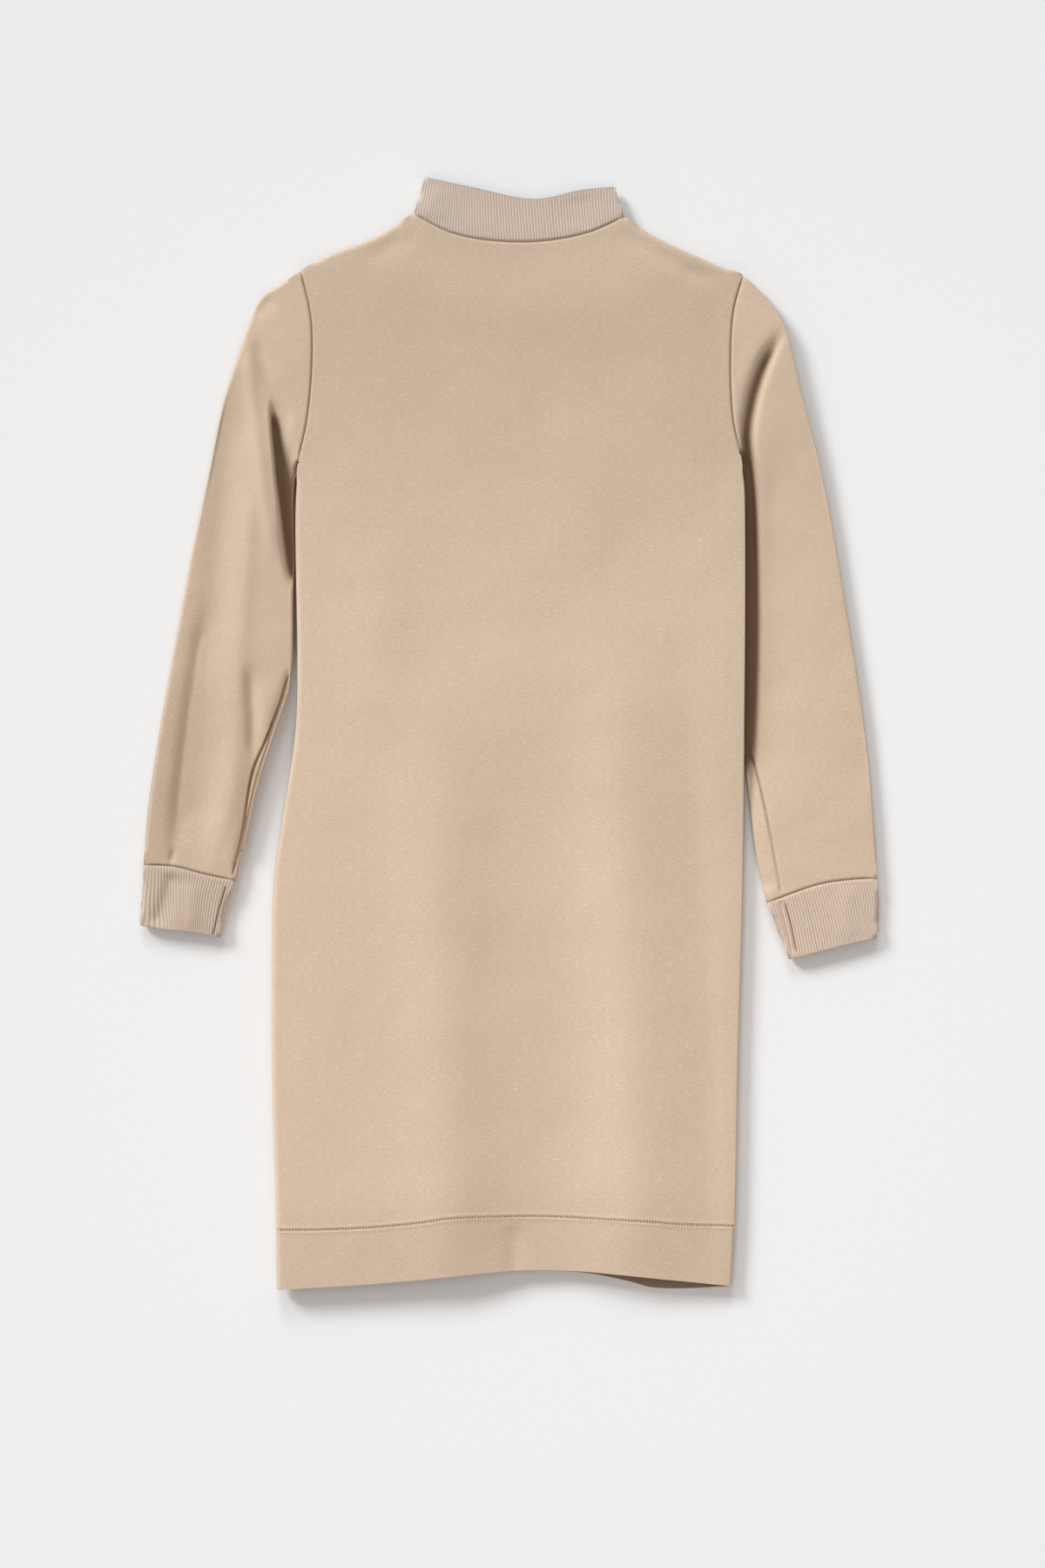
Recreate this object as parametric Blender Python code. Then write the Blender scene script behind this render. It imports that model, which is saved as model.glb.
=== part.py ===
"""Long-sleeved knitted tunic with a ribbed mock neck, laid flat on its front with its back up.

Every piece is a real cloth wall. The front panel lies on the surface (Z = 0) and the back panel
lies over it; the two meet at the side and shoulder seams in a soft rolled edge. Sleeves, cuffs and
collar are flattened tubes that are open at both ends. +Y points to the neck, +Z up off the surface,
and the origin is the middle of the garment's outline, on the surface. Tables are in millimetres.
"""

import math
from collections import namedtuple

import bmesh
import bpy
from mathutils import Vector

MM = 0.001

# ---- driving sizes -------------------------------------------------------------------------------
CLOTH = 1.4  # sweatshirt knit
RIB = 2.0  # rib band, folded double
HEM_DEPTH = 52.0  # height of the turned-up hem
HEM_STEP = 1.5  # distance in which the hem's second layer ends
SEAM_GAP = 0.3  # between two pieces sewn to each other

EDGE_HEIGHT = 7.0  # of a side or shoulder seam above the surface
BAND_EDGE_HEIGHT = 4.6  # of the closed sides of a cuff or the collar's free edge
ROLL = 10.0  # width of the rounded upper edge beside a closed side
UNDER_RUN = 16.0  # width in which the underside slopes down to the surface
BODY_LOFT = 18.0  # top of the back panel
ARMHOLE_LOFT = 15.0
NECK_LOFT = 13.0
COLLAR_LOFT = 11.0
CUFF_LOFT = 10.4
LOFT_BLEND = 70.0  # distance in which the loft changes beside an armhole or the neck

SLEEVE_COLOUR = (0.63, 0.48, 0.35, 1.0)
BODY_COLOUR = (0.64, 0.49, 0.36, 1.0)
RIB_COLOUR = (0.55, 0.43, 0.34, 1.0)

# ---- cut of the pieces ---------------------------------------------------------------------------
At = namedtuple("At", "x y z", defaults=[EDGE_HEIGHT])
Cut = namedtuple("Cut", "outer_x outer_y outer_z inner_x inner_y inner_z")
Fold = namedtuple("Fold", "x0 y0 x1 y1 half_width rise")

# Side seams, from the hem up to the underarm. The left one shows the waist and the hip. The right
# one lies on the sleeve for part of its length, so it is higher there.
SIDE_LEFT = [
    At(-205.5, -490),
    At(-206.5, -413),
    At(-209.5, -313),
    At(-210.0, -220),
    At(-208.0, -128),
    At(-199.0, -64),
    At(-189.5, 0),
    At(-187.5, 60),
    At(-188.5, 130),
    At(-189.0, 195),
    At(-186.5, 238),
]
SIDE_RIGHT = [
    At(195.5, -487),
    At(199.2, -428),
    At(202.0, -290),
    At(206.0, -150),
    At(207.2, -60),
    At(207.5, 10, 10),
    At(208.2, 100, 10),
    At(208.2, 180, 10),
    At(207.4, 218),
    At(203.5, 247),
]
# Armholes, from the underarm up to the shoulder tip.
ARMHOLE_LEFT = [
    At(-186.5, 238),
    At(-178.0, 277),
    At(-173.7, 330),
    At(-175.0, 368),
    At(-184.0, 407),
]
ARMHOLE_RIGHT = [
    At(203.5, 247),
    At(197.0, 277),
    At(194.8, 330),
    At(197.5, 372),
    At(206.0, 403.5),
]
# Shoulder seams, from the tip to the neck.
SHOULDER_LEFT = [At(-184.0, 407), At(-162.0, 420.5), At(-119.0, 437.5), At(-85.0, 457.5)]
SHOULDER_RIGHT = [At(206.0, 403.5), At(168.0, 419.5), At(125.0, 440.0), At(101.5, 455.0)]
# Necklines, from left to right. The front one is cut deeper.
NECK_BACK = [At(-85.0, 457.5), At(-48.0, 439.5), At(12.0, 432.3), At(67.0, 440.0), At(101.5, 455.0)]
NECK_FRONT = [At(-85.0, 457.5), At(-55.0, 412.0), At(8.0, 392.0), At(72.0, 411.0), At(101.5, 455.0)]
# Hems, from left to right. The front one hangs a little lower at the right.
HEM_BACK = [At(-205.5, -490), At(-113.0, -484), At(4.0, -473.3), At(65.0, -474.2), At(195.5, -487)]
HEM_FRONT = [
    At(-205.5, -490),
    At(-113.0, -483),
    At(4.0, -472.5),
    At(68.0, -476.5),
    At(106.0, -484),
    At(126.0, -489.2),
    At(170.0, -489.5),
    At(195.5, -487),
]

# Sleeves, a row for each section from the armhole down to the cuff seam.
SLEEVE_LEFT = [
    Cut(-184.0, 407.0, 7.0, -186.5, 238.0, 7.0),
    Cut(-202.0, 396.0, 6.8, -190.2, 212.0, 6.4),
    Cut(-218.0, 385.5, 6.6, -190.6, 190.0, 6.0),
    Cut(-228.5, 365.0, 6.4, -190.4, 165.0, 5.6),
    Cut(-235.5, 346.0, 6.2, -189.9, 136.0, 5.2),
    Cut(-252.5, 293.0, 6.0, -189.4, 105.0, 5.0),
    Cut(-267.0, 224.0, 5.8, -190.0, 70.0, 5.0),
    Cut(-283.0, 147.0, 5.6, -200.0, 36.0, 5.0),
    Cut(-297.0, 70.0, 5.4, -212.0, 0.0, 5.0),
    Cut(-310.5, -8.0, 5.2, -226.0, -46.0, 5.0),
    Cut(-319.0, -68.0, 5.0, -235.0, -93.0, 4.8),
    Cut(-323.0, -116.0, 4.6, -241.5, -130.0, 4.6),
]
# The right sleeve's inner side slips a little under the body below the underarm.
SLEEVE_RIGHT = [
    Cut(206.0, 403.5, 7.0, 203.5, 247.0, 7.0),
    Cut(218.5, 392.5, 6.8, 207.6, 230.0, 6.0),
    Cut(232.0, 379.0, 6.6, 208.8, 208.0, 4.2),
    Cut(244.0, 357.0, 6.4, 206.6, 182.0, 3.2),
    Cut(252.0, 327.5, 6.2, 204.8, 150.0, 3.2),
    Cut(260.0, 294.0, 6.0, 204.2, 105.0, 3.2),
    Cut(276.5, 228.0, 5.8, 204.2, 55.0, 3.2),
    Cut(298.0, 109.0, 5.4, 204.8, 4.0, 3.2),
    Cut(314.5, 0.0, 5.2, 208.8, -39.0, 4.0),
    Cut(322.0, -80.0, 4.8, 217.0, -105.0, 4.6),
    Cut(324.5, -128.0, 4.6, 227.0, -149.5, 4.6),
]
CUFF_LEFT = [
    Cut(-323.0, -116.0, 4.6, -241.5, -130.0, 4.6),
    Cut(-324.5, -143.0, 4.6, -250.0, -154.0, 4.6),
    Cut(-326.0, -169.5, 4.6, -255.0, -180.0, 4.6),
]
CUFF_RIGHT = [
    Cut(324.5, -128.0, 4.6, 227.0, -149.5, 4.6),
    Cut(326.0, -154.0, 4.6, 236.0, -172.0, 4.6),
    Cut(323.5, -181.0, 4.6, 246.5, -199.5, 4.6),
]
# The seam and the free edge of each cuff, from the outer side to the inner one.
CUFF_SEAM_LEFT = [At(-323.0, -116.0), At(-296.0, -117.5), At(-269.5, -124.0), At(-241.5, -130.0)]
CUFF_SEAM_RIGHT = [At(324.5, -128.0), At(301.0, -129.0), At(272.0, -133.5), At(227.0, -149.5)]
CUFF_END_LEFT = [At(-326.0, -169.5), At(-305.0, -173.0), At(-281.0, -175.2), At(-255.0, -180.0)]
CUFF_END_RIGHT = [At(323.5, -181.0), At(306.5, -184.0), At(279.0, -191.0), At(246.5, -199.5)]
# The collar's two closed sides, from the neck seam up, and its free edge at the back and front.
COLLAR_SIDES = [
    Cut(-85.0, 457.5, 7.0, 101.5, 455.0, 7.0),
    Cut(-80.5, 471.0, 5.6, 97.0, 468.5, 5.6),
    Cut(-75.0, 490.0, 4.6, 93.5, 481.5, 4.6),
]
COLLAR_TOP_BACK = [At(-75.0, 490.0), At(-31.0, 480.5), At(22.0, 470.5), At(64.0, 478.5), At(93.5, 481.5)]
COLLAR_TOP_FRONT = [At(-75.0, 490.0), At(-46.0, 449.0), At(9.0, 430.0), At(66.0, 448.0), At(93.5, 481.5)]

# The largest folds. A rise below zero is a trough.
BACK_FOLDS = [
    Fold(-105, -500, -100, -100, 40, 2.0),
    Fold(-22, -500, -15, -250, 24, -3.0),
    Fold(75, -500, 62, -80, 30, 3.0),
    Fold(137, -500, 126, -180, 20, -2.0),
]
SLEEVE_LEFT_FOLDS = [
    Fold(-205, 262, -193, 165, 9, -8.0),
    Fold(-226, 352, -204, 300, 10, -3.0),
    Fold(-231, 345, -219, 190, 10, 2.5),
]
SLEEVE_RIGHT_FOLDS = [
    Fold(236, 348, 213, 262, 12, -5.0),
    Fold(211, 250, 212, 60, 11, -3.5),
]
NO_FOLDS = []

# ---- how finely the cloth is faceted -------------------------------------------------------------
# Shares of a seam's length: close together in the roll at each end. Pieces that are sewn to each
# other use the same ones, so that their facets meet.
SEAM_SHARES = (0, 0.02, 0.055, 0.10, 0.17, 0.27, 0.38, 0.5, 0.62, 0.73, 0.83, 0.90, 0.945, 0.98, 1)
SHOULDER_SHARES = (0, 0.015, 0.045, 0.10, 0.165, 0.4, 0.7, 1)
SLEEVE_ROWS = (0, 0.04, 0.09, 0.15, 0.21, 0.28, 0.35, 0.43, 0.51, 0.60, 0.69, 0.78, 0.87, 0.95, 1)
BAND_ROWS = (0, 0.34, 0.67, 1)
SIDE_ROWS = (0.18, 0.26, 0.34, 0.42, 0.5, 0.58, 0.66, 0.74, 0.83, 0.92)

BACK_UP = 1
FRONT_DOWN = -1

Point = namedtuple("Point", "place normal")
Nearest = namedtuple("Nearest", "gap height out")


# ---- curves in plan ------------------------------------------------------------------------------
def smooth_line(points, steps=16):
    """A smooth line through the table's points (centripetal Catmull-Rom)."""
    plan = [Vector((p.x, p.y, p.z)) for p in points]
    ends = [2 * plan[0] - plan[1], *plan, 2 * plan[-1] - plan[-2]]
    line = []
    for a, b, c, d in zip(ends, ends[1:], ends[2:], ends[3:]):
        t1 = math.sqrt((b - a).length)
        t2 = t1 + math.sqrt((c - b).length)
        t3 = t2 + math.sqrt((d - c).length)
        for step in range(steps):
            t = t1 + (t2 - t1) * step / steps
            ab = a.lerp(b, t / t1)
            bc = b.lerp(c, (t - t1) / (t2 - t1))
            cd = c.lerp(d, (t - t2) / (t3 - t2))
            abc = ab.lerp(bc, t / t2)
            bcd = bc.lerp(cd, (t - t1) / (t3 - t1))
            line.append(abc.lerp(bcd, (t - t1) / (t2 - t1)))
    return [*line, plan[-1]]


def along(line, shares):
    """The points at these shares of the line's length."""
    lengths = [0.0]
    for a, b in zip(line, line[1:]):
        lengths.append(lengths[-1] + (b - a).length)
    points = []
    for share in shares:
        wanted = share * lengths[-1]
        last = next((i for i, run in enumerate(lengths) if run >= wanted and i), 1)
        run = lengths[last] - lengths[last - 1]
        points.append(line[last - 1].lerp(line[last], (wanted - lengths[last - 1]) / run))
    return points


def outer_side(cuts):
    return smooth_line([At(cut.outer_x, cut.outer_y, cut.outer_z) for cut in cuts])


def inner_side(cuts):
    return smooth_line([At(cut.inner_x, cut.inner_y, cut.inner_z) for cut in cuts])


def nearest(lines, plan, inside):
    """The closed side nearest to a plan point: its distance, its height, and the way out past it."""
    best = Nearest(math.inf, 0.0, None)
    for line in lines:
        for a, b in zip(line, line[1:]):
            run = (b - a).xy
            share = max(0.0, min(1.0, (plan - a.xy).dot(run) / run.length_squared))
            foot = a.lerp(b, share)
            gap = (plan - foot.xy).length
            if gap < best.gap:
                out = Vector((-run.y, run.x)).normalized()
                best = Nearest(gap, foot.z, out if out.dot(foot.xy - inside) > 0 else -out)
    return best


# ---- heights -------------------------------------------------------------------------------------
def quarter_round(share):
    return math.sqrt(1 - (1 - share) ** 2)


def ease(share):
    share = max(0.0, min(1.0, share))
    return share * share * (3 - 2 * share)


def fold_rise(folds, plan):
    """Height that the soft ridges and troughs add at a plan point."""
    total = 0.0
    for fold in folds:
        start = Vector((fold.x0, fold.y0))
        run = Vector((fold.x1, fold.y1)) - start
        share = max(0.0, min(1.0, (plan - start).dot(run) / run.length_squared))
        off = (plan - start - run * share).length
        total += fold.rise * math.exp(-((off / fold.half_width) ** 2))
    return total


def rolled(plan, side, loft, layer):
    """A point of the cloth's outer face, beside a closed side: rounded above, sloping below."""
    share = min(1.0, side.gap / (ROLL if layer == BACK_UP else UNDER_RUN))
    flat = 1 - share
    if layer == BACK_UP:
        lift = quarter_round(share)
        height = side.height + (loft - side.height) * lift
    else:
        lift = share**0.7
        height = side.height * flat
    normal = Vector((side.out.x * flat, side.out.y * flat, layer * lift)).normalized()
    return Point(Vector((plan.x, plan.y, height)), normal)


def seam_row(table, height, loft, layer):
    """The points of a seam that crosses the garment from one closed side to the other."""
    line = [point.xy for point in smooth_line(table)]
    points = along(line, SEAM_SHARES)
    length = sum((b - a).length for a, b in zip(line, line[1:]))
    row = []
    for index, (share, plan) in enumerate(zip(SEAM_SHARES, points)):
        back, ahead = points[max(index - 1, 0)], points[min(index + 1, len(points) - 1)]
        out = (back - ahead).normalized() * (1 if share <= 0.5 else -1)
        side = Nearest(min(share, 1 - share) * length, height, out)
        row.append(rolled(plan, side, loft, layer))
    return row


def shifted(row, toward):
    """The same seam row, moved half a seam gap across the seam, in the sense of toward."""
    moved = []
    for index, point in enumerate(row):
        before = row[max(index - 1, 0)].place
        after = row[min(index + 1, len(row) - 1)].place
        across = Vector((before.y - after.y, after.x - before.x, 0)).normalized()
        if across.dot(toward) < 0:
            across.negate()
        moved.append(Point(point.place + across * SEAM_GAP / 2, point.normal))
    return moved


def blended(start, end, first, last, share_across, share_along):
    """Coons patch: the plan point between two rows (start, end) and two sides (first, last)."""
    u, v = share_across, share_along
    corners = (
        (1 - u) * (1 - v) * first[0]
        + u * (1 - v) * last[0]
        + (1 - u) * v * first[1]
        + u * v * last[1]
    )
    return (1 - v) * start + v * end + (1 - u) * first[2] + u * last[2] - corners


# ---- cloth as solids -----------------------------------------------------------------------------
def cloth(name, rows, thickness, material, tube):
    """A closed cloth wall. rows hold the points of its outer face; a tube's rows run right round."""
    across, down = len(rows[0]) - 1, len(rows) - 1
    shape = bmesh.new()
    bmesh.ops.create_grid(shape, x_segments=across, y_segments=down, size=1)
    inward = shape.verts.layers.float_vector.new("inward")
    shape.verts.ensure_lookup_table()
    for row_index, row in enumerate(rows):
        for column, point in enumerate(row):
            vert = shape.verts[row_index * (across + 1) + column]
            vert.co = point.place * MM
            vert[inward] = point.normal * -thickness[row_index] * MM
    if tube:
        bmesh.ops.remove_doubles(shape, verts=shape.verts, dist=0.01 * MM)
    doubled = bmesh.ops.extrude_face_region(shape, geom=shape.faces[:], use_keep_orig=True)
    for part in doubled["geom"]:
        if isinstance(part, bmesh.types.BMVert):
            part.co += part[inward]
    bmesh.ops.recalc_face_normals(shape, faces=shape.faces)
    mesh = bpy.data.meshes.new(name)
    shape.to_mesh(mesh)
    shape.free()
    mesh.shade_smooth()
    mesh.set_sharp_from_angle(angle=math.radians(40))
    mesh.materials.append(material)
    piece = bpy.data.objects.new(name, mesh)
    garment.objects.link(piece)
    return piece


def tube_piece(name, material, thickness, row_shares, start, end, sides, lofts, folds):
    """A flattened tube, open at both ends, whose back and front layers meet at its closed sides.

    start and end are (back row, front row), and lofts the height of the back layer at each.
    """
    outer, inner = outer_side(sides), inner_side(sides)
    outers, inners = along(outer, row_shares), along(inner, row_shares)
    rows = []
    for share, outer_point, inner_point in zip(row_shares, outers, inners):
        base = lofts[0] + (lofts[1] - lofts[0]) * ease(share * 1.6)
        inside = (outer_point.xy + inner_point.xy) / 2
        pair = []
        for layer, first_row, last_row in zip((BACK_UP, FRONT_DOWN), start, end):
            if share in (0, 1):
                pair.append(first_row if share == 0 else last_row)
                continue
            row = []
            for column, across in enumerate(SEAM_SHARES):
                plan = blended(
                    first_row[column].place.xy,
                    last_row[column].place.xy,
                    (first_row[0].place.xy, last_row[0].place.xy, outer_point.xy),
                    (first_row[-1].place.xy, last_row[-1].place.xy, inner_point.xy),
                    across,
                    share,
                )
                side = nearest((outer, inner), plan, inside)
                if across in (0, 1):
                    side = side._replace(gap=0.0)
                loft = base + (fold_rise(folds, plan) if layer == BACK_UP else 0.0)
                row.append(rolled(plan, side, loft, layer))
            pair.append(row)
        back, front = pair
        rows.append([*back, *reversed(front[:-1])])
    return cloth(name, rows, [thickness] * len(rows), material, tube=True)


def body_panel(name, layer, hem, neck_row, armholes, folds):
    """The front or back panel: side seams and armholes at its sides, shoulders and neck on top."""
    sides = [smooth_line(SIDE_LEFT), smooth_line(SIDE_RIGHT)]
    shoulders = [smooth_line(SHOULDER_LEFT), smooth_line(SHOULDER_RIGHT)]
    closed = [*sides, *shoulders]
    height = sides[0][-1].y - sides[0][0].y
    hem_shares = (0, (HEM_DEPTH - HEM_STEP) / height, HEM_DEPTH / height)
    rows_up = [*hem_shares, *SIDE_ROWS]
    left, right = (
        [*(point.xy for point in along(side, rows_up)), *(point.place.xy for point in armhole)]
        for side, armhole in zip(sides, armholes)
    )
    top_left, top_right = (
        [point.xy for point in along(shoulder, SHOULDER_SHARES)[:-1]] for shoulder in shoulders
    )
    top = [*top_left, *(point.place.xy for point in neck_row), *reversed(top_right)]
    top[0], top[-1] = left[-1], right[-1]
    span = top[-1].x - top[0].x
    across = [(plan.x - top[0].x) / span for plan in top]
    bottom = [point.xy for point in along(smooth_line(hem), across)]
    rows = []
    for index, (first, last) in enumerate(zip(left, right)):
        share = (first.y - left[0].y) / (left[-1].y - left[0].y)
        row = []
        for column, u in enumerate(across):
            plan = blended(
                bottom[column],
                top[column],
                (left[0], left[-1], first),
                (right[0], right[-1], last),
                u,
                share,
            )
            side = nearest(closed, plan, BODY_MIDDLE)
            if side.gap < SEAM_GAP:
                side = side._replace(gap=0.0)
            loft = panel_loft(plan, armholes, neck_row)
            loft += fold_rise(folds, plan) if layer == BACK_UP else 0.0
            row.append(rolled(plan, side, loft, layer))
        rows.append(row)
    for index, (left_point, right_point) in enumerate(zip(*armholes)):
        row = rows[len(rows_up) + index]
        row[0], row[-1] = left_point, right_point
    first_neck = len(SHOULDER_SHARES) - 1
    rows[-1][first_neck : first_neck + len(neck_row)] = neck_row
    from_seam = Vector((0, 0, layer * SEAM_GAP / 2))
    for row in rows:
        for column, point in enumerate(row):
            if point.normal.z == 0:
                row[column] = Point(point.place + from_seam, point.normal)
    thickness = [2 * CLOTH] * 2 + [CLOTH] * (len(rows) - 2)
    return cloth(name, rows, thickness, knit, tube=False)


def panel_loft(plan, armholes, neck_row):
    """Height of the lying back panel: lower beside the armholes and the neck."""
    armhole = min((plan - point.place.xy).length for side in armholes for point in side)
    neck = min((plan - point.place.xy).length for point in neck_row)
    loft = ARMHOLE_LOFT + (BODY_LOFT - ARMHOLE_LOFT) * ease(armhole / LOFT_BLEND)
    return NECK_LOFT + (loft - NECK_LOFT) * ease(neck / LOFT_BLEND)


def fabric(name, colour, roughness):
    material = bpy.data.materials.new(name)
    material.use_nodes = True
    shader = material.node_tree.nodes["Principled BSDF"]
    shader.inputs["Base Color"].default_value = colour
    shader.inputs["Roughness"].default_value = roughness
    shader.inputs["Metallic"].default_value = 0.0
    return material


# ---- the garment ---------------------------------------------------------------------------------
for leftover in list(bpy.data.objects):
    bpy.data.objects.remove(leftover)

garment = bpy.data.collections.new("tunic")
bpy.context.scene.collection.children.link(garment)
knit = fabric("sweatshirt knit", BODY_COLOUR, 0.9)
sleeve_knit = fabric("sweatshirt knit, sleeves", SLEEVE_COLOUR, 0.9)
rib = fabric("rib knit", RIB_COLOUR, 0.95)

BODY_MIDDLE = Vector((0, 0))
TO_LEFT, TO_RIGHT = Vector((-1, 0, 0)), Vector((1, 0, 0))
TO_HEM, TO_NECK = Vector((0, -1, 0)), Vector((0, 1, 0))
layers = (BACK_UP, FRONT_DOWN)

# Armhole seams run from the underarm to the shoulder tip.
armhole_left = [seam_row(ARMHOLE_LEFT, EDGE_HEIGHT, ARMHOLE_LOFT, layer) for layer in layers]
armhole_right = [seam_row(ARMHOLE_RIGHT, EDGE_HEIGHT, ARMHOLE_LOFT, layer) for layer in layers]
neck_back = seam_row(NECK_BACK, EDGE_HEIGHT, NECK_LOFT, BACK_UP)
neck_front = seam_row(NECK_FRONT, EDGE_HEIGHT, NECK_LOFT, FRONT_DOWN)

body_panel(
    "back_panel",
    BACK_UP,
    HEM_BACK,
    shifted(neck_back, TO_HEM),
    (shifted(armhole_left[0], TO_RIGHT), shifted(armhole_right[0], TO_LEFT)),
    BACK_FOLDS,
)
body_panel(
    "front_panel",
    FRONT_DOWN,
    HEM_FRONT,
    shifted(neck_front, TO_HEM),
    (shifted(armhole_left[1], TO_RIGHT), shifted(armhole_right[1], TO_LEFT)),
    NO_FOLDS,
)

for side, away, armhole, sleeve, cuff, cuff_seam, cuff_end, folds in (
    (
        "left",
        TO_LEFT,
        armhole_left,
        SLEEVE_LEFT,
        CUFF_LEFT,
        CUFF_SEAM_LEFT,
        CUFF_END_LEFT,
        SLEEVE_LEFT_FOLDS,
    ),
    (
        "right",
        TO_RIGHT,
        armhole_right,
        SLEEVE_RIGHT,
        CUFF_RIGHT,
        CUFF_SEAM_RIGHT,
        CUFF_END_RIGHT,
        SLEEVE_RIGHT_FOLDS,
    ),
):
    cuff_rows = [seam_row(cuff_seam, BAND_EDGE_HEIGHT, CUFF_LOFT, layer) for layer in layers]
    end_rows = [seam_row(cuff_end, BAND_EDGE_HEIGHT, CUFF_LOFT, layer) for layer in layers]
    tube_piece(
        f"{side}_sleeve",
        sleeve_knit,
        CLOTH,
        SLEEVE_ROWS,
        [list(reversed(shifted(row, away))) for row in armhole],
        [shifted(row, TO_NECK) for row in cuff_rows],
        sleeve,
        (ARMHOLE_LOFT, CUFF_LOFT),
        folds,
    )
    tube_piece(
        f"{side}_cuff",
        rib,
        RIB,
        BAND_ROWS,
        [shifted(row, TO_HEM) for row in cuff_rows],
        end_rows,
        cuff,
        (CUFF_LOFT, CUFF_LOFT),
        NO_FOLDS,
    )

tube_piece(
    "collar",
    rib,
    RIB,
    BAND_ROWS,
    (shifted(neck_back, TO_NECK), shifted(neck_front, TO_NECK)),
    (
        seam_row(COLLAR_TOP_BACK, BAND_EDGE_HEIGHT, COLLAR_LOFT, BACK_UP),
        seam_row(COLLAR_TOP_FRONT, BAND_EDGE_HEIGHT, COLLAR_LOFT, FRONT_DOWN),
    ),
    COLLAR_SIDES,
    (NECK_LOFT, COLLAR_LOFT),
    NO_FOLDS,
)
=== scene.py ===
"""Mock-neck knitted tunic top with long sleeves, laid flat with its back up.

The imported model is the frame. Each cloth piece is made again here as a fine shell on its solid's
form, with its creases, seams, ribs and stitches. Tables are in millimetres: +Y points to the neck
and +Z up off the surface.
"""

import math
from collections import namedtuple

import bmesh
import bpy
import numpy as np
from mathutils import Matrix, Vector, noise


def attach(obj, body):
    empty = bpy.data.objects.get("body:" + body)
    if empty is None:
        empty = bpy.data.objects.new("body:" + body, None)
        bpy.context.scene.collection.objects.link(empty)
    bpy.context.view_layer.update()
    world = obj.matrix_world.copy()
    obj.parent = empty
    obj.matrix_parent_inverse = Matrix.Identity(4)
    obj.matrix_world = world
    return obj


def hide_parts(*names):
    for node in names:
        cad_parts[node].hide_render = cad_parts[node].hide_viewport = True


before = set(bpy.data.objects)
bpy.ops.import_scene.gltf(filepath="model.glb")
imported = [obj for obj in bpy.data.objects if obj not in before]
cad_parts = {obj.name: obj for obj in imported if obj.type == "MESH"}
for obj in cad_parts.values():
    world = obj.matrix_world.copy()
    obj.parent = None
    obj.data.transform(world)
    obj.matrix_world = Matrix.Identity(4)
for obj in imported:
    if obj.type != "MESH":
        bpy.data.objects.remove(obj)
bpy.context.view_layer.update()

# ==== Back panel ==================================================================================
# The whole back in one cut of heavy, smooth heather jersey. Its lower edge is turned up inside and
# held by one row of stitches. The sides and shoulders are sewn to the front panel, the armholes to
# the sleeves, and the neckline to the collar.

MM = 0.001
CLOTH = 1.4  # one layer of jersey
HEM_DEPTH = 52.8  # turned up, so two layers thick
EDGE_HEIGHT = 7.0  # of the side and shoulder seams above the surface
SEAM_ROLL = 5.0  # width of the rounded edge at the ends of a seam across the garment
BODY_LOFT = 16.6  # height of the lying body above the surface
ARMHOLE_LOFT = 15.0
NECK_LOFT = 13.0
LOFT_BLEND = 70.0  # one loft turns into the next in this distance
LOW_RIGHT_DROP = 4.8  # the body lies lower towards the right of its hem
SEAM_BLEND = 16.0  # the roll turns into the seam's own in this distance

At = namedtuple("At", "x y z", defaults=[EDGE_HEIGHT])

# Side seams from the hem up to the underarm, then the armholes up to the shoulder tip.
SIDE_LEFT = [
    At(-205.5, -490),
    At(-206.5, -413),
    At(-209.5, -313),
    At(-210.0, -220),
    At(-208.0, -128),
    At(-199.0, -64),
    At(-189.5, 0),
    At(-187.5, 60),
    At(-188.5, 130),
    At(-189.0, 195, 8.5),
    At(-186.5, 238, 13),
]
SIDE_RIGHT = [
    At(195.5, -487, 8.5),
    At(199.2, -428, 9),
    At(202.0, -290, 9),
    At(206.0, -150, 9),
    At(207.2, -60, 9.5),
    At(207.5, 10, 10),
    At(208.2, 100, 10),
    At(208.2, 180, 10),
    At(207.4, 218, 11),
    At(203.5, 247, 13),
]
ARMHOLE_LEFT = [
    At(-186.5, 238),
    At(-178.0, 277),
    At(-173.7, 330),
    At(-175.0, 368),
    At(-184.0, 407),
]
ARMHOLE_RIGHT = [
    At(203.5, 247),
    At(197.0, 277),
    At(194.8, 330),
    At(197.5, 372),
    At(206.0, 403.5),
]
SHOULDER_LEFT = [At(-184.0, 407), At(-162.0, 420.5), At(-119.0, 437.5), At(-85.0, 457.5)]
SHOULDER_RIGHT = [At(206.0, 403.5), At(168.0, 419.5), At(125.0, 440.0), At(101.5, 455.0)]
NECK_BACK = [At(-85.0, 457.5), At(-48.0, 439.5), At(12.0, 432.3), At(67.0, 440.0), At(101.5, 455.0)]
HEM_BACK = [At(-205.5, -490), At(-113.0, -484), At(4.0, -473.3), At(65.0, -474.2), At(195.5, -487)]
# The stitching wavers a little, as it was sewn.
STITCH_LINE = [
    At(-206.2, -437.2),
    At(-172.0, -437.0),
    At(-120.0, -434.8),
    At(-81.0, -430.8),
    At(-52.0, -426.6),
    At(-18.0, -425.7),
    At(28.0, -425.8),
    At(82.0, -428.0),
    At(121.0, -429.8),
    At(153.0, -432.6),
    At(198.9, -434.3),
]

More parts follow.
